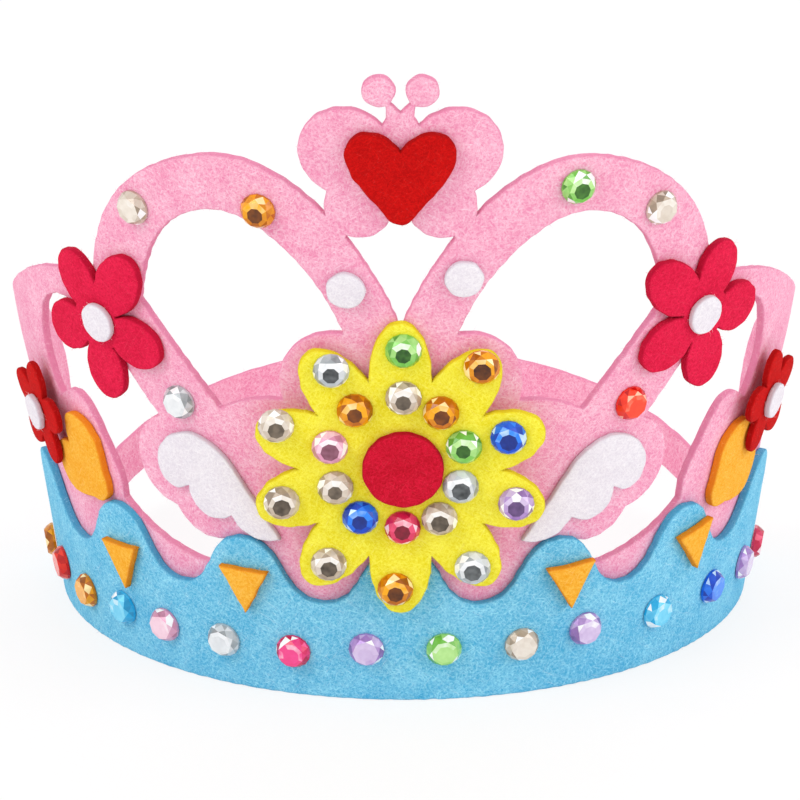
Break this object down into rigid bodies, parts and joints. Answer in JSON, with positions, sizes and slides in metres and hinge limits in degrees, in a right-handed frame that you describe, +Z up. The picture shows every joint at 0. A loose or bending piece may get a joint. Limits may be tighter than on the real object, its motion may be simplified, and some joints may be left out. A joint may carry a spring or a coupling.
{
  "type": "dress-up crown",
  "caption": "Child's dress-up crown of craft felt: a flared sheet with heart-shaped hoops, a wavy band, a daisy, hearts and blossoms, set with flat-backed acrylic gems, with a back strap.",
  "frame": {"origin": "on the crown's axis, in the plane of its bottom edge", "axes": "+Z up along the axis, -Y towards the front with the daisy, +X to the viewer's right"},
  "size_m": [0.1772, 0.1808, 0.1515],
  "materials": {
    "felt_blue": "matte needle-punched craft felt",
    "felt_crimson": "matte needle-punched craft felt",
    "felt_orange": "matte needle-punched craft felt",
    "felt_pink": "matte needle-punched craft felt",
    "felt_red": "matte needle-punched craft felt",
    "felt_white": "matte needle-punched craft felt",
    "felt_yellow": "matte needle-punched craft felt",
    "gem_amber": "faceted acrylic with a foil back",
    "gem_aqua": "faceted acrylic with a foil back",
    "gem_blue": "faceted acrylic with a foil back",
    "gem_champagne": "faceted acrylic with a foil back",
    "gem_clear": "faceted acrylic with a foil back",
    "gem_green": "faceted acrylic with a foil back",
    "gem_hot_pink": "faceted acrylic with a foil back",
    "gem_lilac": "faceted acrylic with a foil back",
    "gem_pink": "faceted acrylic with a foil back",
    "gem_red": "faceted acrylic with a foil back",
    "gem_rose": "faceted acrylic with a foil back"
  },
  "bodies": {
    "root": {"back_strap": "felt_pink", "band_gem_01": "gem_amber", "band_gem_02": "gem_red", "band_gem_03": "gem_amber", "band_gem_04": "gem_aqua", "band_gem_05": "gem_pink", "band_gem_06": "gem_clear", "band_gem_07": "gem_hot_pink", "band_gem_08": "gem_lilac", "band_gem_09": "gem_green", "band_gem_10": "gem_champagne", "band_gem_11": "gem_lilac", "band_gem_12": "gem_aqua", "band_gem_13": "gem_blue", "band_gem_14": "gem_lilac", "band_gem_15": "gem_rose", "base_sheet": "felt_pink", "blossom_centre_left": "felt_white", "blossom_centre_right": "felt_white", "blossom_left": "felt_crimson", "blossom_right": "felt_crimson", "daisy": "felt_yellow", "daisy_centre": "felt_crimson", "daisy_gems_amber": "gem_amber", "daisy_gems_blue": "gem_blue", "daisy_gems_champagne": "gem_champagne", "daisy_gems_clear": "gem_clear", "daisy_gems_green": "gem_green", "daisy_gems_lilac": "gem_lilac", "daisy_gems_pink": "gem_pink", "daisy_gems_rose": "gem_rose", "dot_left": "felt_white", "dot_right": "felt_white", "hoop_gem_crown_left": "gem_amber", "hoop_gem_crown_right": "gem_green", "hoop_gem_foot_left": "gem_clear", "hoop_gem_foot_right": "gem_red", "hoop_gem_shoulder_left": "gem_champagne", "hoop_gem_shoulder_right": "gem_champagne", "side_blossom_centre_left": "felt_white", "side_blossom_centre_right": "felt_white", "side_blossom_left": "felt_red", "side_blossom_right": "felt_red", "side_heart_left": "felt_orange", "side_heart_right": "felt_orange", "top_heart": "felt_red", "triangle_inner_left": "felt_orange", "triangle_inner_right": "felt_orange", "triangle_outer_left": "felt_orange", "triangle_outer_right": "felt_orange", "wavy_band": "felt_blue", "wing_left": "felt_white", "wing_right": "felt_white"}
  },
  "joints": []
}
